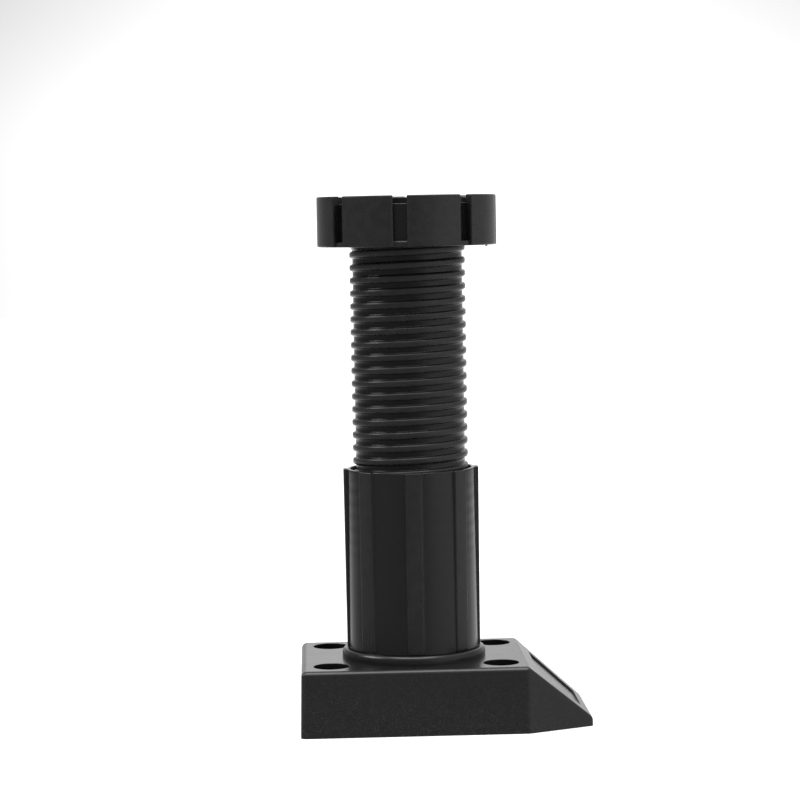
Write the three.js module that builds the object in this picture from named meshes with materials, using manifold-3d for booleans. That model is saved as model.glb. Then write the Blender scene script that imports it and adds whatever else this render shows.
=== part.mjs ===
// Cabinet leveling foot, standing on its mounting plate: a plate with a round socket,
// a ribbed sleeve that turns in the socket and works as the nut, and a threaded tube
// moulded in one with its castellated foot. Millimetres, +Z from the mounting face to the
// ground face, origin on the tube's axis at the mounting face, +X towards the plate's wedge.
import * as THREE from 'three';
import { mergeVertices } from 'three/addons/utils/BufferGeometryUtils.js';
import Module from 'manifold-3d';

const wasm = await Module();
wasm.setup();

// ---- driving dimensions, mm ----
const GAP = 0.3; // running gap between two pieces

// mounting plate
const PLATE_X0 = -29.9; // back end
const PLATE_X1 = 28.2; // crease where the wedge starts
const PLATE_TIP = 45.3; // end of the wedge
const PLATE_HALF = 24.0; // half depth of the block
const TIP_HALF = 15.75; // half depth at the wedge's end
const PLATE_H = 17.0;
const TIP_H = 2.15;
const DRAFT = 0.38; // how far a wall leans in over the plate's height
const PLATE_CORNER = 0.5; // plan corner inside the edge rounding
const PLATE_EDGE = 1.5; // rounding of the top edge
const HOLE_X = 21.75;
const HOLE_Y = 15.65;
const COUNTERBORE_R = 4.55;
const COUNTERBORE_FLOOR = 3.2;
const SCREW_R = 2.25;
const BOSS_R = 6.3;
const SHELL = 2.4; // wall and skin of the hollow underside
const RIB = 1.8;
const COLLAR_R = 18.7;
const COLLAR_TOP = 19.4;
const SOCKET_FLOOR = 2.4;
const SOCKET_WALL = 2.0;
const RECESS = 0.55; // depth of the panel sunk in the slope

// sleeve
const SLEEVE_TOP = 66.3;
const SLEEVE_R_TOP = 16.72;
const SLEEVE_R = 16.95;
const SLEEVE_RIB_W = 4.3;
const SLEEVE_RIB_R_TOP = 17.65;
const SLEEVE_RIB_R_LOW = 17.42;
const SLEEVE_RIBS = 8;
const SLEEVE_BORE = 15.5;
const NUT_LENGTH = 22; // threaded part of the bore
const MOUTH_R = 15.8;

// thread
const PITCH = 3.34;
const CREST_R = 15.0;
const ROOT_R = 14.25;
const CREST_W = 1.25;
const ROOT_W = 2.0; // width of the ridge where it leaves the root
const THREAD_Z180 = 121.77; // height of a crest's middle on the -X side
const THREAD_GAP = 0.34;
const SEG = 32; // facets in one turn

// foot
const LEG_BOTTOM = 50.0;
const LEG_BORE = 11.8;
const FOOT_Z0 = 123.9;
const FOOT_Z1 = 136.9;
const FLANGE_T = 1.25;
const FLANGE_R = 22.4;
const FOOT_R = 23.25;
const CORE_R = 21.0;
const LUG_IN = 21.2; // inner face of a lug above the core
const CORE_IN = 19.6;
const CORE_TOP = 134.8;
const HUB_R = 15.8; // ring in the middle of the ground side
const HUB_IN = 13.6;
const HUB_TOP = 136.4;
const HUB_FLOOR = 132.9;
const POCKET_FLOOR = 126.7; // between the hub and the core
const LUGS = 8;
const SLOT_W = 3.5;
const SLOT_A = -96.2; // degrees, middle of one slot
const NECK = 1.3;

// ---- helpers ----
const deg = Math.PI / 180;

// A closed three.js geometry as a solid, faces outward.
function solid(geometry) {
  const g = geometry.clone();
  g.deleteAttribute('normal');
  g.deleteAttribute('uv');
  const m = mergeVertices(g, 1e-4);
  const p = m.attributes.position.array;
  const src = m.index.array;
  const tri = [];
  let vol = 0;
  for (let i = 0; i < src.length; i += 3) {
    const [a, b, c] = [src[i], src[i + 1], src[i + 2]];
    if (a === b || b === c || c === a) continue;
    tri.push(a, b, c);
    const [ax, ay, az] = [p[3 * a], p[3 * a + 1], p[3 * a + 2]];
    const [bx, by, bz] = [p[3 * b], p[3 * b + 1], p[3 * b + 2]];
    const [cx, cy, cz] = [p[3 * c], p[3 * c + 1], p[3 * c + 2]];
    vol += ax * (by * cz - bz * cy) + ay * (bz * cx - bx * cz) + az * (bx * cy - by * cx);
  }
  if (vol < 0) for (let i = 0; i < tri.length; i += 3) [tri[i + 1], tri[i + 2]] = [tri[i + 2], tri[i + 1]];
  return new wasm.Manifold(
    new wasm.Mesh({ numProp: 3, vertProperties: new Float32Array(p), triVerts: new Uint32Array(tri) })
  );
}

// A body of revolution about Z from a closed [r, z] profile.
function turned(profile, seg = SEG, start = 0) {
  const pts = profile.map(([r, z]) => new THREE.Vector2(r, z));
  const first = profile[0];
  const last = profile[profile.length - 1];
  if (!(first[0] === 0 && last[0] === 0)) pts.push(new THREE.Vector2(first[0], first[1]));
  const g = new THREE.LatheGeometry(pts, seg, start * deg);
  g.rotateX(Math.PI / 2);
  return solid(g);
}

// A plan outline [[x, y]...] drawn up from z0 to z1.
function slab(outline, z0, z1) {
  const s = new THREE.Shape(outline.map(([x, y]) => new THREE.Vector2(x, y)));
  const g = new THREE.ExtrudeGeometry(s, { depth: z1 - z0, bevelEnabled: false });
  g.translate(0, 0, z0);
  return solid(g);
}

// A side outline [[x, z]...] drawn across the part from y0 to y1.
function across(outline, y0, y1) {
  const s = new THREE.Shape(outline.map(([x, z]) => new THREE.Vector2(x, z)));
  const g = new THREE.ExtrudeGeometry(s, { depth: y1 - y0, bevelEnabled: false });
  g.rotateX(Math.PI / 2);
  g.translate(0, y1, 0);
  return solid(g);
}

function box(x0, x1, y0, y1, z0, z1) {
  const g = new THREE.BoxGeometry(x1 - x0, y1 - y0, z1 - z0);
  g.translate((x0 + x1) / 2, (y0 + y1) / 2, (z0 + z1) / 2);
  return solid(g);
}

function rod(x, y, r, z0, z1, seg = 24) {
  const g = new THREE.CylinderGeometry(r, r, z1 - z0, seg);
  g.rotateX(Math.PI / 2);
  g.translate(x, y, (z0 + z1) / 2);
  return solid(g);
}

// A bar through the axis at an angle, or one side of it.
function spoke(angle, width, r0, r1, z0, z1) {
  const g = new THREE.BoxGeometry(r1 - r0, width, z1 - z0);
  g.translate((r0 + r1) / 2, 0, (z0 + z1) / 2);
  g.rotateZ(angle * deg);
  return solid(g);
}

// A right-handed screw from z0 to z1: a cylinder whose rows of points follow the helix, four
// rows to a pitch (foot and shoulder of the ridge, on either side). Rows that would pass an
// end are held at it.
function screw(rootR, crestR, crestW, rootW, z0, z1) {
  const rows = [];
  const k0 = Math.floor((z0 - THREAD_Z180) / PITCH) - 2;
  const k1 = Math.ceil((z1 - THREAD_Z180) / PITCH) + 2;
  for (let k = k0; k <= k1; k++)
    rows.push([k, -rootW / 2, rootR], [k, -crestW / 2, crestR], [k, crestW / 2, crestR], [k, rootW / 2, rootR]);
  const n = rows.length - 1;
  const g = new THREE.CylinderGeometry(1, 1, 1, SEG, n, false);
  const p = g.attributes.position;
  const uv = g.attributes.uv;
  const torso = (n + 1) * (SEG + 1);
  for (let i = 0; i < p.count; i++) {
    const up = p.getY(i) > 0;
    if (i >= torso) {
      const [sx, cz] = [p.getX(i), p.getZ(i)];
      p.setXYZ(i, rootR * cz, rootR * sx, up ? z1 : z0);
      continue;
    }
    const turn = uv.getX(i);
    const [k, off, rr] = rows[Math.round(uv.getY(i) * n)];
    let z = THREAD_Z180 + PITCH * (turn - 0.5 + k) + off;
    let r = rr;
    if (z <= z0) [z, r] = [z0, rootR];
    if (z >= z1) [z, r] = [z1, rootR];
    const t = (turn % 1) * 2 * Math.PI;
    p.setXYZ(i, r * Math.cos(t), r * Math.sin(t), z);
  }
  return solid(g);
}

function mesh(name, body, color, roughness) {
  const m = body.getMesh();
  const g = new THREE.BufferGeometry();
  const pos = new Float32Array((m.vertProperties.length / m.numProp) * 3);
  for (let i = 0; i < pos.length / 3; i++)
    for (let k = 0; k < 3; k++) pos[3 * i + k] = m.vertProperties[i * m.numProp + k];
  g.setAttribute('position', new THREE.BufferAttribute(pos, 3));
  g.setIndex(new THREE.BufferAttribute(new Uint32Array(m.triVerts), 1));
  g.computeVertexNormals();
  const out = new THREE.Mesh(g, new THREE.MeshStandardMaterial({ color, roughness, metalness: 0 }));
  out.name = name;
  return out;
}

const union = (list) => list.reduce((a, b) => a.add(b));

// ---- mounting plate ----
function roundedPlan(x0, x1, half, tip, tipHalf, r) {
  const s = new THREE.Shape();
  s.moveTo(x0 + r, -half);
  s.lineTo(x1, -half);
  s.lineTo(tip - 0.6, -tipHalf);
  s.lineTo(tip, -tipHalf + 0.9);
  s.lineTo(tip, tipHalf - 0.9);
  s.lineTo(tip - 0.6, tipHalf);
  s.lineTo(x1, half);
  s.lineTo(x0 + r, half);
  s.absarc(x0 + r, half - r, r, Math.PI / 2, Math.PI, false);
  s.lineTo(x0, -half + r);
  s.absarc(x0 + r, -half + r, r, Math.PI, 1.5 * Math.PI, false);
  return s;
}

function plateBody() {
  // outer block: plan outline with a rounded top edge, walls leaning in with the draft
  const e = PLATE_EDGE;
  const plan = roundedPlan(PLATE_X0 + e, PLATE_X1, PLATE_HALF - e, PLATE_TIP - e, TIP_HALF - e, PLATE_CORNER);
  const g = new THREE.ExtrudeGeometry(plan, {
    depth: PLATE_H + 6 - 2 * e,
    bevelEnabled: true,
    bevelThickness: e,
    bevelSize: e,
    bevelSegments: 4,
    curveSegments: 4,
  });
  g.translate(0, 0, -6 + e);
  const p = g.attributes.position;
  for (let i = 0; i < p.count; i++) {
    const lean = (DRAFT * p.getZ(i)) / PLATE_H;
    const y = p.getY(i);
    const x = p.getX(i);
    p.setY(i, y * (1 - lean / PLATE_HALF));
    if (x < 0) p.setX(i, x * (1 + lean / PLATE_X0));
  }
  const side = across(
    [
      [-40, 0],
      [60, 0],
      [60, TIP_H],
      [PLATE_TIP, TIP_H],
      [PLATE_X1, PLATE_H],
      [PLATE_X1, 30],
      [-40, 30],
    ],
    -40,
    40
  );
  let body = solid(g).intersect(side);

  // hollow underside: an even skin, with the socket, the four screw bosses and ribs left in
  const t = SHELL;
  const skin = PLATE_H - t;
  const slope = (PLATE_H - TIP_H) / (PLATE_TIP - PLATE_X1);
  const drop = t * Math.sqrt(1 + slope * slope);
  const inX = (z) => PLATE_X1 + (PLATE_H - drop - z) / slope;
  const hollow = slab(
    [
      [PLATE_X0 + t, -PLATE_HALF + t],
      [PLATE_X1 - 1, -PLATE_HALF + t],
      [PLATE_TIP - t, -TIP_HALF + t],
      [PLATE_TIP - t, TIP_HALF - t],
      [PLATE_X1 - 1, PLATE_HALF - t],
      [PLATE_X0 + t, PLATE_HALF - t],
    ],
    -1,
    skin
  ).intersect(
    across(
      [
        [-40, -2],
        [inX(-2), -2],
        [inX(skin), skin],
        [-40, skin],
      ],
      -40,
      40
    )
  );
  const keep = [rod(0, 0, SLEEVE_R + GAP + SOCKET_WALL, 0, PLATE_H, SEG)];
  for (const sx of [-1, 1])
    for (const sy of [-1, 1]) keep.push(rod(sx * HOLE_X, sy * HOLE_Y, BOSS_R, 0, PLATE_H));
  for (const y of [-HOLE_Y, 0, HOLE_Y]) keep.push(box(-40, 60, y - RIB / 2, y + RIB / 2, 0, PLATE_H));
  for (const x of [-HOLE_X, -7.5, 7.5, HOLE_X]) keep.push(box(x - RIB / 2, x + RIB / 2, -40, 40, 0, PLATE_H));
  keep.push(box(32.6, 32.6 + RIB, -40, 40, 0, PLATE_H));
  body = body.subtract(hollow.subtract(union(keep)));

  // bead collar around the socket
  const ri = SLEEVE_R + GAP;
  const collar = [[ri - 2, PLATE_H - 3], [COLLAR_R + 0.25, PLATE_H - 3], [COLLAR_R + 0.25, PLATE_H + 0.1], [COLLAR_R, PLATE_H + 0.3]];
  for (let k = 0; k <= 5; k++) {
    const a = (k / 5) * 90 * deg;
    collar.push([COLLAR_R - 0.95 + 0.95 * Math.cos(a), COLLAR_TOP - 1.6 + 1.6 * Math.sin(a)]);
  }
  collar.push([ri - 2, COLLAR_TOP]);
  body = body.add(turned(collar, 48));

  // socket, counterbores and screw holes
  body = body.subtract(rod(0, 0, ri, SOCKET_FLOOR, 40, 48));
  for (const sx of [-1, 1])
    for (const sy of [-1, 1]) {
      body = body.subtract(rod(sx * HOLE_X, sy * HOLE_Y, COUNTERBORE_R, COUNTERBORE_FLOOR, 40));
      body = body.subtract(rod(sx * HOLE_X, sy * HOLE_Y, SCREW_R, -5, 40));
    }

  // sunk panel in the slope
  const run = PLATE_TIP - PLATE_X1;
  const [u0, u1] = [0.19, 0.85];
  const panel = slab(
    [
      [PLATE_X1 + run * u0, -16],
      [PLATE_X1 + run * u1, -10],
      [PLATE_X1 + run * u1, 10],
      [PLATE_X1 + run * u0, 16],
    ],
    -5,
    40
  );
  const d = RECESS * Math.sqrt(1 + slope * slope);
  const above = across(
    [
      [PLATE_X1, PLATE_H - d],
      [PLATE_TIP, TIP_H - d],
      [PLATE_TIP, 40],
      [PLATE_X1, 40],
    ],
    -40,
    40
  );
  return body.subtract(panel.intersect(above));
}

// ---- sleeve ----
function sleeveBody() {
  const bottom = SOCKET_FLOOR + GAP;
  const nutFloor = SLEEVE_TOP - NUT_LENGTH;
  const nutR = CREST_R + THREAD_GAP;
  let body = turned(
    [
      [SLEEVE_BORE, bottom],
      [SLEEVE_R - 0.5, bottom],
      [SLEEVE_R, bottom + 0.8],
      [SLEEVE_R, COLLAR_TOP],
      [SLEEVE_R_TOP, SLEEVE_TOP - 0.25],
      [SLEEVE_R_TOP - 0.25, SLEEVE_TOP],
      [MOUTH_R, SLEEVE_TOP],
      [MOUTH_R, SLEEVE_TOP - 1.0],
      [ROOT_R + 0.2, SLEEVE_TOP - 2.4],
      [ROOT_R + 0.2, nutFloor],
      [SLEEVE_BORE, nutFloor - 1.4],
    ],
    48
  );
  const z0 = COLLAR_TOP + GAP;
  const ring = turned(
    [
      [SLEEVE_R_TOP - 0.5, z0],
      [SLEEVE_RIB_R_LOW, z0],
      [SLEEVE_RIB_R_TOP, SLEEVE_TOP - 0.25],
      [SLEEVE_RIB_R_TOP - 0.25, SLEEVE_TOP],
      [SLEEVE_R_TOP - 0.5, SLEEVE_TOP],
    ],
    48
  );
  const bars = [];
  for (let k = 0; k < SLEEVE_RIBS / 2; k++)
    bars.push(spoke((k * 360) / SLEEVE_RIBS, SLEEVE_RIB_W, -30, 30, z0 - 1, SLEEVE_TOP + 1));
  body = body.add(ring.intersect(union(bars)));

  // internal thread: the leg's own screw, larger all round by the running gap
  const lean = (ROOT_W - CREST_W) / 2 / (CREST_R - ROOT_R);
  const wider = 2 * (THREAD_GAP * Math.sqrt(1 + lean * lean) - THREAD_GAP * lean);
  return body.subtract(
    screw(ROOT_R + THREAD_GAP, nutR, CREST_W + wider, ROOT_W + wider, nutFloor - 6, SLEEVE_TOP + 8)
  );
}

// ---- threaded leg with its foot ----
function legBody() {
  const foot = turned(
    [
      [ROOT_R - 1.5, FOOT_Z0 - NECK],
      [ROOT_R + 0.05, FOOT_Z0 - NECK],
      [ROOT_R + 0.35, FOOT_Z0 - NECK * 0.45],
      [ROOT_R + 1.3, FOOT_Z0 + 0.01],
      [FLANGE_R - 0.3, FOOT_Z0 + 0.01],
      [FLANGE_R, FOOT_Z0 + 0.3],
      [FLANGE_R, FOOT_Z0 + FLANGE_T],
      [CORE_R, FOOT_Z0 + FLANGE_T + 0.1],
      [CORE_R, CORE_TOP],
      [CORE_IN, CORE_TOP],
      [CORE_IN, POCKET_FLOOR],
      [HUB_R, POCKET_FLOOR],
      [HUB_R, HUB_TOP - 0.3],
      [HUB_R - 0.3, HUB_TOP],
      [ROOT_R - 1.5, HUB_TOP],
    ],
    48
  );
  const rod0 = screw(ROOT_R, CREST_R, CREST_W, ROOT_W, LEG_BOTTOM, FOOT_Z0 + 0.5).add(
    rod(0, 0, ROOT_R - 0.5, FOOT_Z0 - 3, HUB_TOP, SEG)
  );
  const bore = rod(0, 0, LEG_BORE, LEG_BOTTOM - 5, HUB_FLOOR - 2.4, SEG).add(
    rod(0, 0, HUB_IN, HUB_FLOOR, FOOT_Z1 + 5, SEG)
  );
  let body = rod0.add(foot).subtract(bore);

  // lugs around the foot, and the ribs in its ground side
  let rim = turned(
    [
      [CORE_R - 0.3, FOOT_Z0 + 0.02],
      [FOOT_R - 0.5, FOOT_Z0 + 0.02],
      [FOOT_R, FOOT_Z0 + 0.5],
      [FOOT_R, FOOT_Z1 - 0.5],
      [FOOT_R - 0.5, FOOT_Z1],
      [LUG_IN, FOOT_Z1],
      [LUG_IN, CORE_TOP - 0.3],
      [CORE_R - 0.3, CORE_TOP - 0.3],
    ],
    48
  );
  const slots = [];
  for (let k = 0; k < LUGS; k++)
    slots.push(spoke(SLOT_A + (k * 360) / LUGS, SLOT_W, 10, 30, FOOT_Z0 - 1, FOOT_Z1 + 1));
  rim = rim.subtract(union(slots));
  const ribs = [];
  for (let k = 0; k < LUGS; k++)
    ribs.push(spoke(SLOT_A + ((k + 0.5) * 360) / LUGS, RIB, HUB_R - 0.5, CORE_IN + 0.5, FOOT_Z0 + 2, CORE_TOP - 0.8));
  return body.add(rim).add(union(ribs));
}

const part = new THREE.Group();
part.name = 'leveling_foot';
part.add(mesh('mounting_plate', plateBody(), '#19191a', 0.5));
part.add(mesh('adjusting_sleeve', sleeveBody(), '#1b1b1c', 0.5));
part.add(mesh('threaded_leg_foot', legBody(), '#1a1a1b', 0.48));

export default part;
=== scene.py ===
import math

import bmesh
import bpy
import numpy as np
from mathutils import Matrix, Vector


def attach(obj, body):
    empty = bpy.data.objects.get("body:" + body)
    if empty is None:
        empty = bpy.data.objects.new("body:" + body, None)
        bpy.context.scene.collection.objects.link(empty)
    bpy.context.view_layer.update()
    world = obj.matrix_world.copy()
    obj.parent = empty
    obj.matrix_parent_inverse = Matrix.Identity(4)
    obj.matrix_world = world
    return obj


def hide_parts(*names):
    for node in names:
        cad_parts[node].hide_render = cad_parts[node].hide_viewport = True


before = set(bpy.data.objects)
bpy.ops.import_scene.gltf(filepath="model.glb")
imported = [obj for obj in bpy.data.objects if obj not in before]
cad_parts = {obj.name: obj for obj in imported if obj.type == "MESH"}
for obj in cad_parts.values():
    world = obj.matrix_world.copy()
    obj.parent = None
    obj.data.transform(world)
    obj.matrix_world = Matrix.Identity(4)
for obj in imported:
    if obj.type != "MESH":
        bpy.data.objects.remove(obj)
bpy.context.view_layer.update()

MM = 0.001
TAU = 2 * math.pi

# ---------------------------------------------------------------- dimensions, mm, as in the CAD
PLATE_X0, PLATE_X1, PLATE_TIP = -29.9, 28.2, 45.3
PLATE_HALF, TIP_HALF = 24.0, 15.75
PLATE_H, TIP_H, DRAFT = 17.0, 2.15, 0.38
HOLE_X, HOLE_Y = 21.75, 15.65
COUNTERBORE_R, COUNTERBORE_FLOOR, SCREW_R, BOSS_R = 4.55, 3.2, 2.25, 6.3
SHELL, RIB = 2.4, 1.8
COLLAR_R, COLLAR_TOP, SOCKET_FLOOR, SOCKET_WALL = 18.7, 19.4, 2.4, 2.0
RECESS = 0.55
GAP = 0.3
SLEEVE_TOP, SLEEVE_R_TOP, SLEEVE_R = 66.3, 16.72, 16.95
RIB_W, RIB_R_TOP, RIB_R_LOW = 4.3, 17.65, 17.42
SLEEVE_BORE, NUT_LENGTH, MOUTH_R = 15.5, 22.0, 15.8
PITCH, CREST_R, ROOT_R, CREST_W, ROOT_W = 3.34, 15.0, 14.25, 1.25, 2.0
THREAD_Z180 = 121.77
LEG_BOTTOM, LEG_BORE = 50.0, 11.8
FOOT_Z0, FOOT_Z1 = 123.9, 136.9
FLANGE_T, FLANGE_R, FOOT_R = 1.25, 22.4, 23.25
CORE_R, CORE_IN, CORE_TOP, LUG_IN = 21.0, 19.6, 134.8, 21.2
HUB_R, HUB_IN, HUB_TOP, HUB_FLOOR, POCKET_FLOOR = 15.8, 13.6, 136.4, 132.9, 126.7
SLOT_W, SLOT_A, NECK = 3.5, -96.2, 1.3


# ---------------------------------------------------------------- mesh helpers
def new_object(name, verts, faces, mm=True):
    me = bpy.data.meshes.new(name)
    k = MM if mm else 1.0
    me.from_pydata([(x * k, y * k, z * k) for x, y, z in verts], [], faces)
    me.validate()
    ob = bpy.data.objects.new(name, me)
    bpy.context.scene.collection.objects.link(ob)
    return ob


def clean(ob, dist=1e-7):
    bm = bmesh.new()
    bm.from_mesh(ob.data)
    bmesh.ops.remove_doubles(bm, verts=bm.verts, dist=dist)
    bmesh.ops.dissolve_degenerate(bm, edges=bm.edges, dist=dist)
    bmesh.ops.recalc_face_normals(bm, faces=bm.faces)
    bm.to_mesh(ob.data)
    bm.free()
    return ob


def ring_grid(name, rows, closed=False, caps=False):
    """rows: a list of closed rings of points, all with as many points."""
    n = len(rows[0])
    verts = [p for row in rows for p in row]
    faces = []
    m = len(rows)
    for i in range(m if closed else m - 1):
        a, b = i * n, ((i + 1) % m) * n
        for j in range(n):
            k = (j + 1) % n
            faces.append((a + j, a + k, b + k, b + j))
    if caps:
        faces.append(tuple(range(n - 1, -1, -1)))
        faces.append(tuple(range((m - 1) * n, m * n)))
    return clean(new_object(name, verts, faces))


def lathe(name, profile, n=192, start=0.0):
    """A closed [r, z] profile turned about Z. A profile whose ends lie on the axis closes there."""
    rows = []
    for r, z in profile:
        r = max(r, 0.0)
        rows.append([(r * math.cos(start + TAU * j / n), r * math.sin(start + TAU * j / n), z) for j in range(n)])
    on_axis = profile[0][0] <= 0 and profile[-1][0] <= 0
    return ring_grid(name, rows, closed=not on_axis)


def arc(cx, cz, r, a0, a1, n):
    return [
        (cx + r * math.cos(math.radians(a0 + (a1 - a0) * i / n)), cz + r * math.sin(math.radians(a0 + (a1 - a0) * i / n)))
        for i in range(n + 1)
    ]


def rounded(points, radii, closed=True, n=5):
    """Replaces each corner of a 2-D outline by an arc of the given radius."""
    out = []
    m = len(points)
    for i, (p, r) in enumerate(zip(points, radii)):
        p = np.array(p, float)
        if r <= 0 or (not closed and i in (0, m - 1)):
            out.append(tuple(p))
            continue
        a = np.array(points[(i - 1) % m], float) - p
        b = np.array(points[(i + 1) % m], float) - p
        la, lb = np.linalg.norm(a), np.linalg.norm(b)
        a, b = a / la, b / lb
        cosv = float(np.clip(a @ b, -1, 1))
        half = math.acos(cosv) / 2
        if half > math.pi / 2 - 1e-3:
            out.append(tuple(p))
            continue
        t = min(r / math.tan(half), 0.49 * la, 0.49 * lb)
        rr = t * math.tan(half)
        c = p + (a + b) / np.linalg.norm(a + b) * (rr / math.sin(half))
        s, e = p + a * t, p + b * t
        a0 = math.atan2(*(s - c)[::-1])
        a1 = math.atan2(*(e - c)[::-1])
        d = (a1 - a0 + math.pi) % TAU - math.pi
        for k in range(n + 1):
            q = a0 + d * k / n
            out.append((c[0] + rr * math.cos(q), c[1] + rr * math.sin(q)))
    return out


def prism(name, outline, z0, z1):
    n = len(outline)
    verts = [(x, y, z0) for x, y in outline] + [(x, y, z1) for x, y in outline]
    faces = [(j, (j + 1) % n, n + (j + 1) % n, n + j) for j in range(n)]
    faces += [tuple(range(n - 1, -1, -1)), tuple(range(n, 2 * n))]
    return clean(new_object(name, verts, faces))


def prism_y(name, outline, y0, y1):
    n = len(outline)
    verts = [(x, y0, z) for x, z in outline] + [(x, y1, z) for x, z in outline]
    faces = [(j, (j + 1) % n, n + (j + 1) % n, n + j) for j in range(n)]
    faces += [tuple(range(n - 1, -1, -1)), tuple(range(n, 2 * n))]
    return clean(new_object(name, verts, faces))


def block(name, x0, x1, y0, y1, z0, z1):
    return prism(name, [(x0, y0), (x1, y0), (x1, y1), (x0, y1)], z0, z1)


def pipe(name, x, y, profile, n=72):
    ob = lathe(name, profile, n)
    ob.data.transform(Matrix.Translation((x * MM, y * MM, 0)))
    return ob


def take(ob):
    me = ob.data
    bpy.data.objects.remove(ob)
    bpy.data.meshes.remove(me)


def boolean(ob, other, op):
    m = ob.modifiers.new("cut", "BOOLEAN")
    m.solver = "EXACT"
    m.operation = op
    m.object = other
    bpy.context.view_layer.update()
    dg = bpy.context.evaluated_depsgraph_get()
    me = bpy.data.meshes.new_from_object(ob.evaluated_get(dg))
    ob.modifiers.clear()
    old = ob.data
    ob.data = me
    bpy.data.meshes.remove(old)
    take(other)
    return ob


def cut(ob, other):
    return boolean(ob, other, "DIFFERENCE")


def join(ob, other):
    return boolean(ob, other, "UNION")


def bevel_edges(ob, choose, width, segments):
    """Rounds the edges for which choose(middle in mm, edge, angle in degrees) is true."""
    bm = bmesh.new()
    bm.from_mesh(ob.data)
    bm.normal_update()
    picked = []
    for e in bm.edges:
        if len(e.link_faces) != 2:
            continue
        mid = (e.verts[0].co + e.verts[1].co) / 2 / MM
        if choose(mid, e, math.degrees(e.calc_face_angle(0))):
            picked.append(e)
    bmesh.ops.bevel(
        bm, geom=picked, offset=width * MM, segments=segments, profile=0.5, affect="EDGES", clamp_overlap=True, offset_type="OFFSET"
    )
    bmesh.ops.recalc_face_normals(bm, faces=bm.faces)
    bm.to_mesh(ob.data)
    bm.free()
    return ob


def shade(ob, angle=34, weighted=True):
    me = ob.data
    bm = bmesh.new()
    bm.from_mesh(me)
    bm.normal_update()
    for f in bm.faces:
        f.smooth = True
    for e in bm.edges:
        e.smooth = len(e.link_faces) == 2 and e.calc_face_angle(0) < math.radians(angle)
    bm.to_mesh(me)
    bm.free()
    if weighted:
        m = ob.modifiers.new("normals", "WEIGHTED_NORMAL")
        m.mode = "FACE_AREA"
        m.keep_sharp = True
        m.weight = 80
    return ob


# ---------------------------------------------------------------- thread
def thread_profile(root_r, crest_r, crest_w, root_w, r_crest=0.5, r_root=0.22, n=3):
    """One pitch of the ridge as [offset along z, r], from groove to groove, corners rounded."""
    h = PITCH / 2
    pts = [(-h, root_r), (-root_w / 2, root_r), (-crest_w / 2, crest_r), (crest_w / 2, crest_r), (root_w / 2, root_r), (h, root_r)]
    out = rounded(pts, [0, r_root, r_crest, r_crest, r_root, 0], closed=False, n=n)
    return out[:-1]


def helix_rows(prof, root_r, z0, z1, thetas, shift=0.0, run_in=0.0, run_out=0.0):
    """Rings that follow the right-handed helix, for columns at the given angles (0..360, both ends kept)."""
    k0 = math.floor((z0 - THREAD_Z180) / PITCH) - 2
    k1 = math.ceil((z1 - THREAD_Z180) / PITCH) + 2
    rows = []
    for k in range(k0, k1 + 1):
        for off, r0 in prof:
            row = []
            for t in thetas:
                z = THREAD_Z180 + shift + PITCH * ((t - 180.0) / 360.0 + k) + off
                r = r0
                if run_out:
                    f = min(1.0, max(0.0, (z1 - z) / run_out))
                    r = root_r + (r - root_r) * f
                if run_in:
                    f = min(1.0, max(0.0, (z - z0) / run_in))
                    r = root_r + (r - root_r) * f
                if z <= z0:
                    z, r = z0, root_r
                if z >= z1:
                    z, r = z1, root_r
                a = math.radians(t)
                row.append((r * math.cos(a), r * math.sin(a), z))
            rows.append(row)
    # rings that are wholly held at an end add nothing
    keep = [i for i, row in enumerate(rows) if any(z0 < p[2] < z1 for p in row)]
    return rows[max(0, keep[0] - 1): keep[-1] + 2]


def open_grid(name, rows, closed=True):
    """Like ring_grid, for rings whose first and last columns are both given (they meet one row apart)."""
    n = len(rows[0])
    m = len(rows)
    verts = [p for row in rows for p in row]
    faces = []
    for i in range(m if closed else m - 1):
        a, b = i * n, ((i + 1) % m) * n
        for j in range(n - 1):
            faces.append((a + j, a + j + 1, b + j + 1, b + j))
    return clean(new_object(name, verts, faces), dist=2e-7)


def circle_row(r, z, thetas):
    return [(r * math.cos(math.radians(t)), r * math.sin(math.radians(t)), z) for t in thetas]


# ---------------------------------------------------------------- leg with its foot
# flash: angle in degrees, radius and height in mm, size in mm
FLASH = [(-27.6, 22.55, 123.95, 0.62), (-33.0, 22.6, 124.0, 0.34), (-148.0, 22.55, 124.0, 0.42), (-156.0, 22.6, 124.02, 0.3),
         (-143.0, 14.6, 122.9, 0.4), (-150.0, 14.7, 123.2, 0.34), (-136.0, 14.5, 122.6, 0.3)]


def crumb(angle, r, z, size):
    """A small uneven lump, longer downwards."""
    rng = np.random.default_rng(int(abs(angle) * 10))
    rows = []
    for i in range(1, 8):
        p = math.pi * i / 8
        row = []
        for j in range(12):
            q = TAU * j / 12
            k = size * (0.5 + 0.13 * math.sin(3 * q + i) + 0.05 * rng.standard_normal())
            row.append((k * math.sin(p) * math.cos(q), k * math.sin(p) * math.sin(q), 1.25 * size * 0.5 * math.cos(p)))
        rows.append(row)
    ob = ring_grid("crumb", list(reversed(rows)), caps=True)
    a = math.radians(angle)
    ob.data.transform(Matrix.Translation((r * math.cos(a) * MM, r * math.sin(a) * MM, z * MM)))
    return ob


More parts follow.
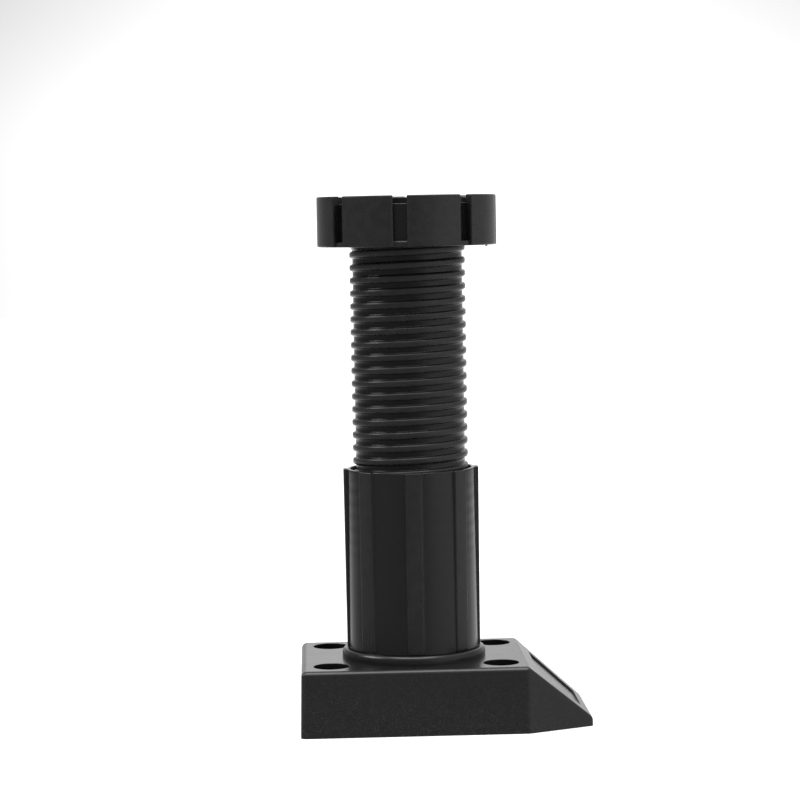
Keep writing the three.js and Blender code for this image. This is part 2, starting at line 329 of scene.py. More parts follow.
def make_leg():
    thetas = [360.0 * j / 160 for j in range(161)]
    top = FOOT_Z0 + 0.9
    prof = thread_profile(ROOT_R, CREST_R, CREST_W, ROOT_W)
    rows = [circle_row(LEG_BORE, LEG_BOTTOM + 0.3, thetas), circle_row(LEG_BORE + 0.3, LEG_BOTTOM, thetas), circle_row(ROOT_R - 0.5, LEG_BOTTOM, thetas)]
    rows += helix_rows(prof, ROOT_R, LEG_BOTTOM + 0.5, top, thetas, run_in=1.2)
    rows += [circle_row(LEG_BORE, top, thetas)]
    leg = open_grid("leg", rows)

    # foot: core ring, flange, neck and the recess of the ground side
    section = [
        (LEG_BORE, FOOT_Z0 - 2.6),
        (ROOT_R - 0.02, FOOT_Z0 - 2.6),
        (ROOT_R - 0.02, FOOT_Z0 - NECK),
        (ROOT_R + 0.06, FOOT_Z0 - NECK * 0.72),
        (ROOT_R + 0.22, FOOT_Z0 - NECK * 0.46),
        (ROOT_R + 0.5, FOOT_Z0 - NECK * 0.22),
        (ROOT_R + 0.9, FOOT_Z0 - NECK * 0.06),
        (ROOT_R + 1.35, FOOT_Z0),
    ]
    section += arc(FLANGE_R - 0.22, FOOT_Z0 + 0.22, 0.22, -90, 0, 4)
    section += arc(FLANGE_R - 0.1, FOOT_Z0 + FLANGE_T - 0.1, 0.1, 0, 90, 4)
    section += arc(CORE_R + 0.35, FOOT_Z0 + FLANGE_T + 0.35, 0.35, -90, -180, 4)
    section += arc(CORE_R - 0.14, CORE_TOP - 0.14, 0.14, 0, 90, 4)
    section += arc(CORE_IN + 0.28, CORE_TOP - 0.28, 0.28, 90, 180, 4)
    section += arc(CORE_IN - 0.4, POCKET_FLOOR + 0.4, 0.4, 0, -90, 4)
    section += arc(HUB_R + 0.4, POCKET_FLOOR + 0.4, 0.4, -90, -180, 4)
    section += arc(HUB_R - 0.28, HUB_TOP - 0.28, 0.28, 0, 90, 4)
    section += arc(HUB_IN + 0.28, HUB_TOP - 0.28, 0.28, 90, 180, 4)
    section += arc(HUB_IN - 0.4, HUB_FLOOR + 0.4, 0.4, 0, -90, 4)
    section += [(0, HUB_FLOOR), (0, HUB_FLOOR - 2.4), (LEG_BORE - 0.5, HUB_FLOOR - 2.4), (LEG_BORE, HUB_FLOOR - 2.9)]
    foot = lathe("foot", section, 200)
    leg = join(leg, foot)

    # eight lugs, their slots parallel-sided
    half_slot = SLOT_W / 2
    step = TAU / 8
    for k in range(8):
        c = math.radians(SLOT_A) + (k + 0.5) * step
        r0, r1 = CORE_R - 0.35, FOOT_R
        a0 = step / 2 - math.asin(half_slot / r0)
        a1 = step / 2 - math.asin(half_slot / r1)
        outer = [(r1 * math.cos(a), r1 * math.sin(a)) for a in np.linspace(-a1, a1, 40)]
        inner = [(r0 * math.cos(a), r0 * math.sin(a)) for a in np.linspace(a0, -a0, 34)]
        pts = outer + inner
        radii = [0.0] * len(pts)
        radii[0] = radii[39] = 0.42
        radii[40] = radii[-1] = 0.15
        # a rounding that reaches past its neighbours needs a longer first and last edge
        pts = [outer[0]] + outer[2:-2] + [outer[-1], inner[0]] + inner[1:-1] + [inner[-1]]
        radii = [0.0] * len(pts)
        radii[0] = 0.4
        radii[len(outer) - 3 + 0] = 0.4
        plan = np.array(rounded(pts, radii, n=5))
        nrm = outline_normals(plan)
        rows = []
        r = 0.38
        for i in range(6):
            a = math.radians(90 * i / 5)
            rows.append((r * (1 - math.sin(a)), FOOT_Z0 + 0.01 + r * (1 - math.cos(a))))
        for i in range(6):
            a = math.radians(90 * i / 5)
            rows.append((r * (1 - math.cos(a)), FOOT_Z1 - r * (1 - math.sin(a))))
        rings = []
        for d, z in rows:
            ring = plan - nrm * d
            cs, sn = math.cos(c), math.sin(c)
            rings.append([(x * cs - y * sn, x * sn + y * cs, z) for x, y in ring])
        lug = ring_grid(f"lug{k}", rings, caps=True)
        leg = join(leg, lug)
    leg = cut(leg, lathe("setback", [(CORE_IN - 0.6, CORE_TOP + 0.02), (LUG_IN, CORE_TOP + 0.02), (LUG_IN, FOOT_Z1 + 2), (CORE_IN - 0.6, FOOT_Z1 + 2)], 200))
    # crumbs of flash on the lower edge of two lugs and at the tube's neck
    for a, r, z, s in FLASH:
        leg = join(leg, crumb(a, r, z, s))
    # ribs in the recess of the ground side
    for k in range(8):
        c = math.degrees(math.radians(SLOT_A) + (k + 0.5) * step)
        z0, z1 = FOOT_Z0 + 2.0, CORE_TOP - 0.8
        w = RIB / 2
        prof = rounded([(-w, z0), (w, z0), (w - 0.12, z1), (-w + 0.12, z1)], [0, 0, 0.3, 0.3], n=4)
        n = len(prof)
        r0, r1 = HUB_R - 0.4, CORE_IN + 0.5
        verts = [(r0, y, z) for y, z in prof] + [(r1, y, z) for y, z in prof]
        faces = [(j, (j + 1) % n, n + (j + 1) % n, n + j) for j in range(n)]
        faces += [tuple(range(n - 1, -1, -1)), tuple(range(n, 2 * n))]
        rib = clean(new_object(f"footrib{k}", verts, faces))
        rib.data.transform(Matrix.Rotation(math.radians(c), 4, "Z"))
        leg = join(leg, rib)
    return shade(leg, 40)


def outline_normals(p):
    """Outward unit normals of a counter-clockwise closed outline."""
    t = np.roll(p, -1, 0) - np.roll(p, 1, 0)
    t /= np.maximum(np.linalg.norm(t, axis=1, keepdims=True), 1e-12)
    n = np.c_[t[:, 1], -t[:, 0]]
    area = 0.5 * float(np.sum(p[:, 0] * np.roll(p[:, 1], -1) - np.roll(p[:, 0], -1) * p[:, 1]))
    return n if area > 0 else -n


# ---------------------------------------------------------------- sleeve
def rib_columns():
    """Angles (degrees) and rib heights (0..1) of the points round one eighth of the sleeve, a rib in its middle."""
    rb, rr, w = SLEEVE_R, SLEEVE_R + 0.75, RIB_W / 2
    a_foot, a_top = math.degrees(math.asin(w / rb)), math.degrees(math.asin(w / rr))
    f = 0.3  # rounding
    pol = []
    foot_end = a_foot + math.degrees(f / rb)
    for a in np.linspace(22.5, foot_end + 0.4, 9):
        pol.append((a, 0.0))
    # concave corner, wall, convex corner
    for q in np.linspace(0, 90, 5):
        s = math.sin(math.radians(q))
        c = 1 - math.cos(math.radians(q))
        pol.append((foot_end - math.degrees(f / rb) * s, c * f * 0.8 / 0.75))
    for q in np.linspace(0, 90, 6):
        s = math.sin(math.radians(q))
        c = 1 - math.cos(math.radians(q))
        pol.append((a_top - math.degrees(f / rr) * c, 1 - f / 0.75 * (1 - s)))
    for a in np.linspace(a_top - math.degrees(f / rr) - 0.6, 0, 6):
        pol.append((a, 1.0))
    left = [(-a, h) for a, h in pol]
    right = [(a, h) for a, h in reversed(pol[:-1])]
    return (left + right)[:-1]


def make_sleeve():
    cols = []
    one = rib_columns()
    for k in range(8):
        cols += [(45.0 * k + a, h) for a, h in one]
    # start at 0 degrees: rotate the list so that the angles run from 0 to 360
    cols = sorted(((a % 360.0, h) for a, h in cols), key=lambda c: c[0])
    cols.append((cols[0][0] + 360.0, cols[0][1]))
    thetas = [a for a, _ in cols]
    heights = [h for _, h in cols]
    low, high = COLLAR_TOP + 0.15, SLEEVE_TOP
    nut_floor = SLEEVE_TOP - NUT_LENGTH

    def body_r(z):
        t = min(1.0, max(0.0, (z - COLLAR_TOP) / (SLEEVE_TOP - COLLAR_TOP)))
        return SLEEVE_R + (SLEEVE_R_TOP - SLEEVE_R) * t

    def rib_r(z):
        t = min(1.0, max(0.0, (z - COLLAR_TOP) / (SLEEVE_TOP - COLLAR_TOP)))
        return RIB_R_LOW + (RIB_R_TOP - RIB_R_LOW) * t

    def outer(z, share, inset=0.0, ripple=True):
        row = []
        for a, h in zip(thetas, heights):
            base = body_r(z)
            r = base + (rib_r(z) - base) * h * share
            if ripple and z > nut_floor - 4:
                # shallow sinks where the thread inside makes the wall thick
                fade = min(1.0, (z - nut_floor + 4) / 6) * min(1.0, max(0.0, (SLEEVE_TOP - 1.5 - z) / 3))
                phase = (z - THREAD_Z180) / PITCH - (a - 180.0) / 360.0
                r -= 0.012 * fade * (1 + math.cos(TAU * phase)) * (1 - 0.7 * h)
            r -= inset
            q = math.radians(a)
            row.append((r * math.cos(q), r * math.sin(q), z))
        return row

    bottom = SOCKET_FLOOR + GAP
    rows = [circle_row(SLEEVE_BORE + 0.2, bottom, thetas), circle_row(SLEEVE_R - 0.6, bottom, thetas), circle_row(SLEEVE_R - 0.2, bottom + 0.2, thetas), circle_row(SLEEVE_R, bottom + 0.8, thetas)]
    for z in np.linspace(bottom + 1.4, low - 0.15, 12):
        rows.append(outer(z, 0.0, ripple=False))
    for share, dz in ((0.0, 0.0), (0.25, 0.0), (0.55, 0.01), (0.78, 0.06), (0.92, 0.15), (1.0, 0.32)):
        rows.append(outer(low + dz, share, ripple=False))
    for z in np.linspace(low + 0.8, high - 0.7, 118):
        rows.append(outer(z, 1.0))
    for i in range(6):
        a = math.radians(90 * i / 5)
        rows.append(outer(high - 0.3 * (1 - math.sin(a)), 1.0, inset=0.3 * (1 - math.cos(a)), ripple=False))
    # rim, mouth and chamfer
    rows.append(circle_row(MOUTH_R + 0.3, high, thetas))
    for r, z in arc(MOUTH_R + 0.2, high - 0.2, 0.2, 90, 180, 4):
        rows.append(circle_row(r, z, thetas))
    rows.append(circle_row(MOUTH_R, high - 1.0, thetas))
    nut_r = CREST_R + 0.34
    lean = (ROOT_W - CREST_W) / 2 / (CREST_R - ROOT_R)
    wider = 2 * (0.34 * math.sqrt(1 + lean * lean) - 0.34 * lean)
    prof = thread_profile(ROOT_R + 0.34, nut_r, CREST_W + wider, ROOT_W + wider, 0.18, 0.18, 2)
    inner = helix_rows(prof, nut_r, nut_floor, high - 1.35, thetas)
    # near the mouth the ridges are cut back by the chamfer
    z_in = high - 1.35
    chamfered = []
    for row in inner:
        new = []
        for (x, y, z), t in zip(row, thetas):
            r = math.hypot(x, y)
            least = min(nut_r, ROOT_R + 0.34 + max(0.0, (z - (high - 2.7))) * 0.75)
            r = max(r, least)
            q = math.radians(t)
            new.append((r * math.cos(q), r * math.sin(q), z))
        chamfered.append(new)
    rows.append(circle_row(nut_r, z_in, thetas))
    rows += list(reversed(chamfered))
    rows.append(circle_row(nut_r, nut_floor, thetas))
    rows.append(circle_row(SLEEVE_BORE, nut_floor - 0.6, thetas))
    rows.append(circle_row(SLEEVE_BORE, bottom + 0.2, thetas))
    sleeve = open_grid("sleeve", rows)
    return shade(sleeve, 50)


# ---------------------------------------------------------------- mounting plate
def wedge_plane(z):
    return PLATE_X1 + (PLATE_H - z) * (PLATE_TIP - PLATE_X1) / (PLATE_H - TIP_H)


def make_plate():
    h, d = PLATE_H, DRAFT
    x0, x1, xt = PLATE_X0, PLATE_X1, PLATE_TIP
    hw, ht = PLATE_HALF, TIP_HALF
    k = TIP_H / h
    verts = [
        (x0, -hw, 0), (x1, -hw, 0), (xt, -ht, 0), (xt, ht, 0), (x1, hw, 0), (x0, hw, 0),
        (x0 + d, -hw + d, h), (x1, -hw + d, h), (xt, -ht + d * k, TIP_H), (xt, ht - d * k, TIP_H), (x1, hw - d, h), (x0 + d, hw - d, h),
    ]
    faces = [
        (5, 4, 3, 2, 1, 0), (6, 7, 10, 11), (7, 8, 9, 10), (0, 1, 7, 6), (1, 2, 8, 7), (2, 3, 9, 8), (3, 4, 10, 9), (4, 5, 11, 10), (5, 0, 6, 11),
    ]
    plate = clean(new_object("plate", verts, faces))

    def is_edge(e, a, b):
        va, vb = Vector(verts[a]) * MM, Vector(verts[b]) * MM
        p, q = e.verts[0].co, e.verts[1].co
        return ((p - va).length < 1e-6 and (q - vb).length < 1e-6) or ((p - vb).length < 1e-6 and (q - va).length < 1e-6)

    # one pass, each edge with its own rounding through a bevel weight
    bm = bmesh.new()
    bm.from_mesh(plate.data)
    weights = {
        (0, 6): 1.0, (5, 11): 1.0,
        (6, 7): 1.0, (10, 11): 1.0, (6, 11): 1.0,
        (7, 8): 0.5, (9, 10): 0.5, (7, 10): 0.38, (8, 9): 0.56,
        (2, 8): 0.5, (3, 9): 0.5, (1, 7): 0.38, (4, 10): 0.38,
    }
    layer = bm.edges.layers.float.get("bevel_weight_edge") or bm.edges.layers.float.new("bevel_weight_edge")
    for e in bm.edges:
        for (a, b), w in weights.items():
            if is_edge(e, a, b):
                e[layer] = w
    bm.to_mesh(plate.data)
    bm.free()
    m = plate.modifiers.new("round", "BEVEL")
    m.limit_method = "WEIGHT"
    m.width = 1.5 * MM
    m.segments = 10
    m.profile = 0.5
    m.miter_outer = "MITER_SHARP"
    bpy.context.view_layer.update()
    dg = bpy.context.evaluated_depsgraph_get()
    me = bpy.data.meshes.new_from_object(plate.evaluated_get(dg))
    plate.modifiers.clear()
    plate.data = me

    # hollow underside
    t = SHELL
    skin = h - t
    slope = (h - TIP_H) / (xt - x1)
    drop = t * math.sqrt(1 + slope * slope)

    def in_x(z):
        return x1 + (h - drop - z) / slope

    hollow = prism("hollow", [(x0 + t, -hw + t), (x1 - 1, -hw + t), (xt - t, -ht + t), (xt - t, ht - t), (x1 - 1, hw - t), (x0 + t, hw - t)], -1, skin)
    hollow = boolean(hollow, prism_y("side", [(-40, -2), (in_x(-2), -2), (in_x(skin), skin + 0.001), (-40, skin + 0.001)], -40, 40), "INTERSECT")
    hollow = cut(hollow, pipe("socket", 0, 0, [(0, -3), (SLEEVE_R + GAP + SOCKET_WALL, -3), (SLEEVE_R + GAP + SOCKET_WALL, 30), (0, 30)], 96))
    for sx in (-1, 1):
        for sy in (-1, 1):
            hollow = cut(hollow, pipe("boss", sx * HOLE_X, sy * HOLE_Y, [(0, -3), (BOSS_R, -3), (BOSS_R, 30), (0, 30)], 64))
    for y in (-HOLE_Y, 0, HOLE_Y):
        hollow = cut(hollow, block("r", -60, 60, y - RIB / 2, y + RIB / 2, -3, 30))
    for x in (-HOLE_X, -7.5, 7.5, HOLE_X, 32.6 + RIB / 2):
        hollow = cut(hollow, block("r", x - RIB / 2, x + RIB / 2, -60, 60, -3, 30))
    plate = cut(plate, hollow)

    # bead collar
    ri = SLEEVE_R + 0.16
    bead = [(ri - 2, h - 3), (COLLAR_R + 0.02, h - 3), (COLLAR_R + 0.02, h + 0.8)]
    cx, cz, ra, rb_ = COLLAR_R - 1.05, h + 1.05, 1.05, COLLAR_TOP - h - 1.05
    for i in range(0, 13):
        a = math.radians(102 * i / 12)
        bead.append((cx + ra * math.cos(a), cz + rb_ * math.sin(a)))
    bead += [(ri + 0.05, cz + rb_ * 0.86), (ri - 2, cz + rb_ * 0.8)]
    plate = join(plate, lathe("bead", bead, 192))

    # socket
    sock = [(0, SOCKET_FLOOR), (ri - 0.4, SOCKET_FLOOR), (ri, SOCKET_FLOOR + 0.4), (ri, 40), (0, 40)]
    plate = cut(plate, lathe("sock", sock, 192))

    # counterbores with a broken edge, and the screw holes
    r, f, e = COUNTERBORE_R, COUNTERBORE_FLOOR, 0.2
    bore = [(0, f), (r - 0.3, f)] + arc(r - 0.3, f + 0.3, 0.3, -90, 0, 4) + arc(r + e, h - e, e, 180, 90, 5) + [(r + e + 0.001, h + 3), (0, h + 3)]
    for sx in (-1, 1):
        for sy in (-1, 1):
            plate = cut(plate, pipe("bore", sx * HOLE_X, sy * HOLE_Y, bore, 96))
            s = SCREW_R
            screw = [(0, -2), (s + 0.35, -2), (s + 0.35, -0.001), (s, 0.35), (s, f - 0.25), (s + 0.25, f + 0.001), (s + 0.25, f + 1), (0, f + 1)]
            plate = cut(plate, pipe("screw", sx * HOLE_X, sy * HOLE_Y, screw, 64))

    # sunk panel in the slope, walls leaning out a little
    run = xt - x1
    L = math.hypot(run, h - TIP_H)
    u0, u1 = 0.19 * L, 0.85 * L
    z_top, z_bot = 1.0, -RECESS
    lean = 0.04
    quad = [(u0, -16.0), (u1, -10.0), (u1, 10.0), (u0, 16.0)]
    lower = rounded([(a, b) for a, b in quad], [0.5] * 4, n=5)
    mid = np.array(lower)
    nr = outline_normals(mid)
    rings = []
    for off, z in ((-0.07, z_bot), (-0.02, z_bot + 0.02), (0.0, z_bot + 0.07), (lean, -0.06), (lean + 0.02, -0.02), (lean + 0.06, 0.0), (lean + 0.07, z_top)):
        ring = mid + nr * off
        rings.append([(float(u), float(v), z) for u, v in ring])
    panel = ring_grid("panel", rings, caps=True)
    ux = Vector((run / L, 0, -(h - TIP_H) / L))
    uy = Vector((0, 1, 0))
    uz = ux.cross(uy)
    if uz.z < 0:
        uz = -uz
    mat = Matrix(((ux.x, uy.x, uz.x, x1 * MM), (ux.y, uy.y, uz.y, 0), (ux.z, uy.z, uz.z, h * MM), (0, 0, 0, 1)))
    panel.data.transform(mat)
    bm = bmesh.new(); bm.from_mesh(panel.data); bmesh.ops.recalc_face_normals(bm, faces=bm.faces); bm.to_mesh(panel.data); bm.free()
    plate = cut(plate, panel)
    clean(plate, 1e-8)
    return shade(plate, 32)


# ---------------------------------------------------------------- material
def plastic(name, base, rough, grain=1.0, seed=0.0, polish_and_painted_shade=None):
    """Moulded black plastic: fine grain, slow drifts of gloss and scuffs on proud edges."""
    mat = bpy.data.materials.new(name)
    mat.use_nodes = True
    nt = mat.node_tree
    nt.nodes.clear()
    N = nt.nodes.new
    L = nt.links.new
    out = N("ShaderNodeOutputMaterial")
    bsdf = N("ShaderNodeBsdfPrincipled")
    L(bsdf.outputs[0], out.inputs[0])
    bsdf.inputs["IOR"].default_value = 1.5
    geo = N("ShaderNodeNewGeometry")
    tex = N("ShaderNodeTexCoord")
    mp = N("ShaderNodeMapping")
    mp.inputs["Location"].default_value = (seed, seed * 1.7, seed * 0.3)
    L(tex.outputs["Object"], mp.inputs["Vector"])

    def noise(scale, detail=2.0, rough_=0.5, dist=0.0):
        n = N("ShaderNodeTexNoise")
        n.inputs["Scale"].default_value = scale
        n.inputs["Detail"].default_value = detail
        n.inputs["Roughness"].default_value = rough_
        n.inputs["Distortion"].default_value = dist
        L(mp.outputs[0], n.inputs["Vector"])
        return n.outputs["Fac"]

    def ramp(fac, lo, hi, a, b):
        m = N("ShaderNodeMapRange")
        m.inputs["From Min"].default_value = lo
        m.inputs["From Max"].default_value = hi
        m.inputs["To Min"].default_value = a
        m.inputs["To Max"].default_value = b
        L(fac, m.inputs["Value"])
        return m.outputs[0]

    def math_(op, a, b):
        m = N("ShaderNodeMath")
        m.operation = op
        for i, v in enumerate((a, b)):
            if isinstance(v, (int, float)):
                m.inputs[i].default_value = v
            else:
                L(v, m.inputs[i])
        return m.outputs[0]

    even = min(1.0, grain)
    # slow clouds of gloss from the melt's flow, finer mottling, and grain
    flow = noise(55.0, 3.0, 0.55, 1.2)
    mottle = noise(420.0, 3.0, 0.6)
    grain_n = noise(2600.0, 2.0, 0.6)
    scuff = noise(900.0, 4.0, 0.7, 0.8)
    # proud edges, from the mesh's own curvature
    edge = ramp(geo.outputs["Pointiness"], 0.515, 0.60, 0.0, 1.0)
    worn = math_("MULTIPLY", edge, ramp(scuff, 0.42, 0.62, 0.15, 1.0))
    # the tool leaves some surfaces polished (grooves, slots, panels between ribs) and the rest matt; the polished
    # surfaces also get a darker base colour, painted shade for the occluded groove roots, the walls inside the slots
    # and the recessed panels between the ribs
    matt_unshaded = None
    if polish_and_painted_shade:
        sx = N("ShaderNodeSeparateXYZ")
        L(tex.outputs["Object"], sx.inputs[0])
        rad = math_("SQRT", math_("ADD", math_("MULTIPLY", sx.outputs["X"], sx.outputs["X"]), math_("MULTIPLY", sx.outputs["Y"], sx.outputs["Y"])), 0.0)
        hz = sx.outputs["Z"]
        if polish_and_painted_shade == "sleeve":
            body = math_("ADD", math_("MULTIPLY", hz, -(SLEEVE_R - SLEEVE_R_TOP) / (SLEEVE_TOP - COLLAR_TOP)), (SLEEVE_R + (SLEEVE_R - SLEEVE_R_TOP) * COLLAR_TOP / (SLEEVE_TOP - COLLAR_TOP)) * MM)
            matt_unshaded = ramp(math_("SUBTRACT", rad, body), 0.00022, 0.0004, 0.0, 1.0)
        else:
            tube = ramp(rad, 0.01429, 0.01445, 0.0, 1.0)
            disc = math_("MAXIMUM", ramp(rad, 0.0223, 0.0228, 0.15, 1.0), ramp(hz, 0.12512, 0.12528, 1.0, 0.0))
            disc = math_("MAXIMUM", disc, ramp(hz, 0.13455, 0.1347, 0.0, 1.0))
            at = ramp(hz, 0.12355, 0.12385, 0.0, 1.0)
            matt_unshaded = math_("ADD", math_("MULTIPLY", tube, math_("SUBTRACT", 1.0, at)), math_("MULTIPLY", disc, at))

    mix1 = N("ShaderNodeMix")
    mix1.data_type = "RGBA"
    L(ramp(mottle, 0.3, 0.7, 0.0, 1.0), mix1.inputs["Factor"])
    mix1.inputs["A"].default_value = (*[c * (1 - 0.18 * even) for c in base], 1)
    mix1.inputs["B"].default_value = (*[c * (1 + 0.2 * even) for c in base], 1)
    mix2 = N("ShaderNodeMix")
    mix2.data_type = "RGBA"
    L(math_("MULTIPLY", worn, 0.5), mix2.inputs["Factor"])
    L(mix1.outputs["Result"], mix2.inputs["A"])
    mix2.inputs["B"].default_value = (0.035, 0.035, 0.036, 1)
    if matt_unshaded is not None:
        painted_shade_mix = N("ShaderNodeMix")
        painted_shade_mix.data_type = "RGBA"
        L(matt_unshaded, painted_shade_mix.inputs["Factor"])
        # painted shade: the thread's groove roots are near black (0.0022) and the walls inside the foot's slots dark
        # (0.006)
        if polish_and_painted_shade == "leg":
            groove_and_slot_shade_mix = N("ShaderNodeMix")
            groove_and_slot_shade_mix.data_type = "RGBA"
            L(at, groove_and_slot_shade_mix.inputs["Factor"])
            groove_and_slot_shade_mix.inputs["A"].default_value = (0.0022, 0.0022, 0.0023, 1)
            groove_and_slot_shade_mix.inputs["B"].default_value = (0.006, 0.006, 0.0062, 1)
            L(groove_and_slot_shade_mix.outputs["Result"], painted_shade_mix.inputs["A"])
        else:
            # painted shade: the panels between the sleeve's ribs get 0.6 of the base colour
            painted_shade_mix.inputs["A"].default_value = (*[c * 0.6 for c in base], 1)
        L(mix2.outputs["Result"], painted_shade_mix.inputs["B"])
        L(painted_shade_mix.outputs["Result"], bsdf.inputs["Base Color"])
    else:
        L(mix2.outputs["Result"], bsdf.inputs["Base Color"])

    r = math_("ADD", ramp(flow, 0.3, 0.7, rough - 0.045 * even, rough + 0.045 * even), ramp(mottle, 0.3, 0.7, -0.025 * even, 0.025 * even))
    r = math_("ADD", r, math_("MULTIPLY", worn, 0.08))
    if matt_unshaded is not None:
        shiny = ramp(flow, 0.3, 0.7, 0.11, 0.16) if polish_and_painted_shade == "leg" else ramp(flow, 0.3, 0.7, 0.17, 0.23)
        if polish_and_painted_shade == "leg":
            shiny = math_("ADD", shiny, math_("MULTIPLY", at, 0.03))
        r = math_("ADD", math_("MULTIPLY", shiny, math_("SUBTRACT", 1.0, matt_unshaded)), math_("MULTIPLY", r, matt_unshaded))
    L(r, bsdf.inputs["Roughness"])

    hgt = math_("ADD", math_("MULTIPLY", grain_n, 0.55), math_("MULTIPLY", mottle, 0.45))
    b1 = N("ShaderNodeBump")
    b1.inputs["Strength"].default_value = 0.16 * grain
    b1.inputs["Distance"].default_value = 0.00006
    L(hgt, b1.inputs["Height"])
    b2 = N("ShaderNodeBump")
    b2.inputs["Strength"].default_value = 0.09 * grain
    b2.inputs["Distance"].default_value = 0.0001
    L(flow, b2.inputs["Height"])
    L(b1.outputs[0], b2.inputs["Normal"])
    last = b2
    if polish_and_painted_shade == "sleeve":
        # shallow rings where the thick wall sank between the ribs
        mr = N("ShaderNodeMapping")
        mr.inputs["Scale"].default_value = (0.12, 0.12, 1.0)
        L(mp.outputs[0], mr.inputs["Vector"])
        rings = N("ShaderNodeTexNoise")
        rings.inputs["Scale"].default_value = 230.0
        rings.inputs["Detail"].default_value = 1.5
        L(mr.outputs[0], rings.inputs["Vector"])
        last = N("ShaderNodeBump")
        last.inputs["Strength"].default_value = 0.16
        last.inputs["Distance"].default_value = 0.00012
        L(rings.outputs["Fac"], last.inputs["Height"])
        L(b2.outputs[0], last.inputs["Normal"])
    L(last.outputs[0], bsdf.inputs["Normal"])
    return mat


mat_plate = plastic("plate_black_plastic", (0.0115, 0.0115, 0.0118), 0.24, 0.3, 3.1)
mat_sleeve = plastic("sleeve_black_plastic", (0.0135, 0.0135, 0.0138), 0.31, 1.0, 11.7, polish_and_painted_shade="sleeve")
mat_leg = plastic("leg_black_plastic", (0.0125, 0.0125, 0.0128), 0.28, 1.1, 23.9, polish_and_painted_shade="leg")

leg = make_leg()
sleeve = make_sleeve()
plate = make_plate()

for ob, mat, node, body, slot in (
    (plate, mat_plate, "mounting_plate", "plate", "plate_black_plastic"),
    (sleeve, mat_sleeve, "adjusting_sleeve", "sleeve", "sleeve_black_plastic"),
    (leg, mat_leg, "threaded_leg_foot", "leg", "leg_black_plastic"),
):
    ob.data.materials.clear()
    ob.data.materials.append(mat)
    ob.name = {"plate": "plate_moulding", "sleeve": "sleeve_moulding", "leg": "leg_and_foot_moulding"}[body]
    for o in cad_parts[node].material_slots:
        o.material = mat
    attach(ob, body)
    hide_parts(node)

# ---------------------------------------------------------------- stage, light, camera
floor_mat = bpy.data.materials.new("studio_floor")
floor_mat.use_nodes = True
fb = floor_mat.node_tree.nodes["Principled BSDF"]
fb.inputs["Base Color"].default_value = (0.9, 0.9, 0.9, 1)
fb.inputs["Roughness"].default_value = 0.9
fb.inputs["Specular IOR Level"].default_value = 0.0
floor = new_object("studio_floor", [(-3000, -3000, -0.05), (3000, -3000, -0.05), (3000, 3000, -0.05), (-3000, 3000, -0.05)], [(0, 1, 2, 3)])
floor.data.materials.append(floor_mat)
fb.inputs["Emission Color"].default_value = (1, 1, 1, 1)
fb.inputs["Emission Strength"].default_value = 0.45
floor.visible_glossy = False

world = bpy.data.worlds.new("studio")
bpy.context.scene.world = world
world.use_nodes = True
wt = world.node_tree
wt.nodes.clear()
wo = wt.nodes.new("ShaderNodeOutputWorld")
bg = wt.nodes.new("ShaderNodeBackground")
wt.links.new(bg.outputs[0], wo.inputs[0])
co = wt.nodes.new("ShaderNodeTexCoord")
sep = wt.nodes.new("ShaderNodeSeparateXYZ")
wt.links.new(co.outputs["Generated"], sep.inputs[0])


def wmath(op, *args):
    m = wt.nodes.new("ShaderNodeMath")
    m.operation = op
    for i, v in enumerate(args):
        if isinstance(v, (int, float)):
            m.inputs[i].default_value = v
        else:
            wt.links.new(v, m.inputs[i])
    return m.outputs[0]


def wsmooth(value, lo, hi, a, b):
    m = wt.nodes.new("ShaderNodeMapRange")
    m.interpolation_type = "SMOOTHSTEP"
    for k, v in (("From Min", lo), ("From Max", hi), ("To Min", a), ("To Max", b)):
        m.inputs[k].default_value = v
    wt.links.new(value, m.inputs["Value"])
    return m.outputs[0]


# a white sweep behind and beside the object, the room dark in front of it. Degrees from the
# front, +X positive.
LEVEL = ((-180, 1.50), (-170, 0.75), (-155, 0.38), (-136, 0.22), (-117, 0.16), (-90, 0.19), (-68, 0.22), (-40, 0.22), (-20, 0.19), (0, 0.20),
         (12, 0.23), (20, 0.28), (29, 0.38), (38, 0.50), (47, 0.60), (66, 0.60), (88, 0.53), (100, 0.43), (114, 0.36), (132, 0.40), (152, 0.57), (165, 0.90), (172, 1.30), (180, 1.50))
BELOW = ((-180, 1.50), (-150, 0.95), (-136, 0.62), (-121, 0.40), (-111, 0.33), (-97, 0.29), (-45, 0.25), (-13, 0.21), (0, 0.24), (10, 0.26),
         (42, 0.52), (70, 0.60), (94, 0.56), (108, 0.52), (122, 0.74), (134, 0.95), (150, 1.05), (170, 1.30), (180, 1.50))
azim = wmath("ARCTAN2", sep.outputs["X"], wmath("MULTIPLY", sep.outputs["Y"], -1.0))
turn = wmath("ADD", wmath("DIVIDE", azim, TAU), 0.5)


def profile(table):
    cr = wt.nodes.new("ShaderNodeValToRGB")
    els = cr.color_ramp.elements
    els[0].position, els[1].position = 0.0, 1.0
    for deg_, v in table:
        p_ = (deg_ + 180) / 360
        e_ = els[0] if p_ == 0 else els[len(els) - 1] if p_ == 1 else els.new(p_)
        e_.color = (v / 1.6, v / 1.6, v / 1.6, 1)
    wt.links.new(turn, cr.inputs[0])
    return wmath("MULTIPLY", cr.outputs["Color"], 1.6)


level = wsmooth(sep.outputs["Z"], -0.13, -0.065, 0.0, 1.0)
side = wmath("ADD", wmath("MULTIPLY", profile(LEVEL), level), wmath("MULTIPLY", profile(BELOW), wmath("SUBTRACT", 1.0, level)))
# low in front it is darker still, and overhead everything runs to one pale value
front = wsmooth(sep.outputs["Y"], -0.6, 0.3, 1.0, 0.0)
low = wsmooth(sep.outputs["Z"], -0.45, -0.05, 0.55, 1.0)
low = wmath("ADD", wmath("MULTIPLY", low, front), wmath("SUBTRACT", 1.0, front))
side = wmath("MULTIPLY", side, low)
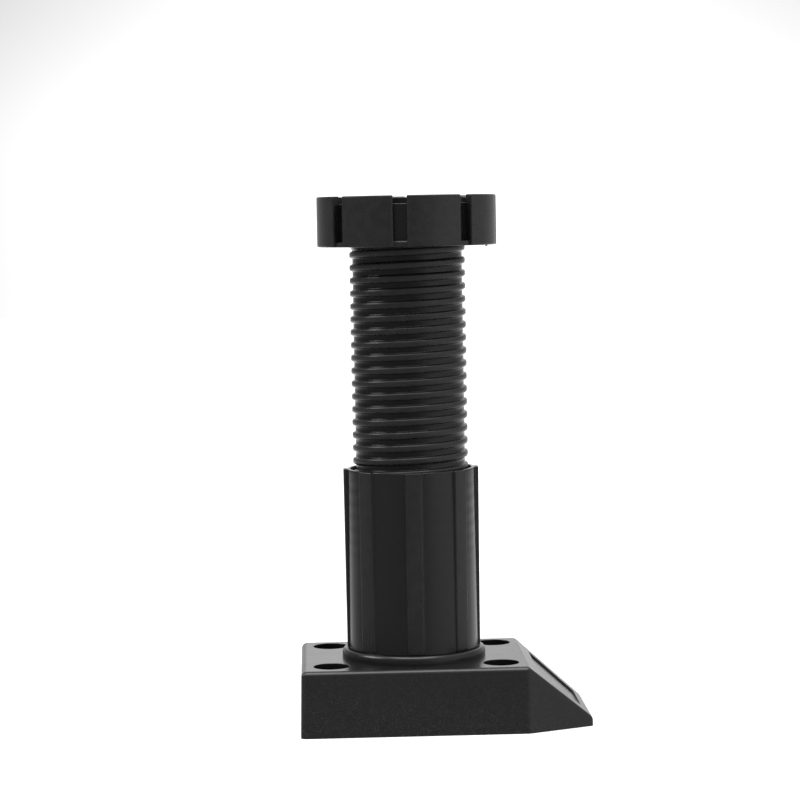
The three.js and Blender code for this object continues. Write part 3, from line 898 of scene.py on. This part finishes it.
# straight behind, the sweep is brightest at its foot
behind = wsmooth(sep.outputs["Y"], 0.93, 0.985, 0.0, 1.0)
side = wmath("MULTIPLY", side, wmath("SUBTRACT", 1.0, wmath("MULTIPLY", behind, wsmooth(sep.outputs["Z"], 0.02, 0.11, 0.0, 0.27))))
over = wsmooth(sep.outputs["Z"], 0.45, 0.95, 0.0, 1.0)
total = wmath("ADD", wmath("MULTIPLY", side, wmath("SUBTRACT", 1.0, over)), wmath("MULTIPLY", over, 0.95))
wt.links.new(total, bg.inputs["Strength"])
bg.inputs["Color"].default_value = (1, 1, 1, 1)


def softbox(name, azimuth, elevation, distance, w, h, radiance):
    lamp = bpy.data.lights.new(name, "AREA")
    lamp.shape = "RECTANGLE"
    lamp.size, lamp.size_y = w, h
    lamp.energy = radiance * math.pi * w * h
    ob = bpy.data.objects.new(name, lamp)
    a, e = math.radians(azimuth), math.radians(elevation)
    d = Vector((math.cos(e) * math.sin(a), -math.cos(e) * math.cos(a), math.sin(e)))
    ob.location = Vector((0, 0, 0.07)) + d * distance
    ob.rotation_euler = d.to_track_quat("Z", "Y").to_euler()
    bpy.context.scene.collection.objects.link(ob)
    return ob


softbox("top_softbox", 0, 80, 1.25, 1.0, 0.85, 4.0)
softbox("left_softbox", -90, 41, 1.3, 0.62, 0.5, 6.0)

# camera: about 0.66 m in front, a little below the top of the foot disc, looking slightly down
az, pit, rol = math.radians(-1.918), math.radians(4.0754), math.radians(1.0241)
fwd = Vector((-math.sin(az) * math.cos(pit), math.cos(az) * math.cos(pit), -math.sin(pit)))
rgt = Vector((math.cos(az), math.sin(az), 0))
up = rgt.cross(fwd)
r2 = rgt * math.cos(rol) - up * math.sin(rol)
u2 = rgt * math.sin(rol) + up * math.cos(rol)
cam = bpy.data.cameras.new("camera")
cam.sensor_width = 36
cam.lens = 2553.346 / 800 * 36
cam.shift_x, cam.shift_y = -0.5 / 800, 0.5 / 800
cam.clip_start, cam.clip_end = 0.01, 50
co_ = bpy.data.objects.new("camera", cam)
co_.matrix_world = Matrix((
    (r2.x, u2.x, -fwd.x, -0.024556),
    (r2.y, u2.y, -fwd.y, -0.662961),
    (r2.z, u2.z, -fwd.z, 0.131),
    (0, 0, 0, 1),
))
bpy.context.scene.collection.objects.link(co_)
bpy.context.scene.camera = co_
bpy.context.scene.view_settings.view_transform = "Standard"
bpy.context.scene.view_settings.look = "None"

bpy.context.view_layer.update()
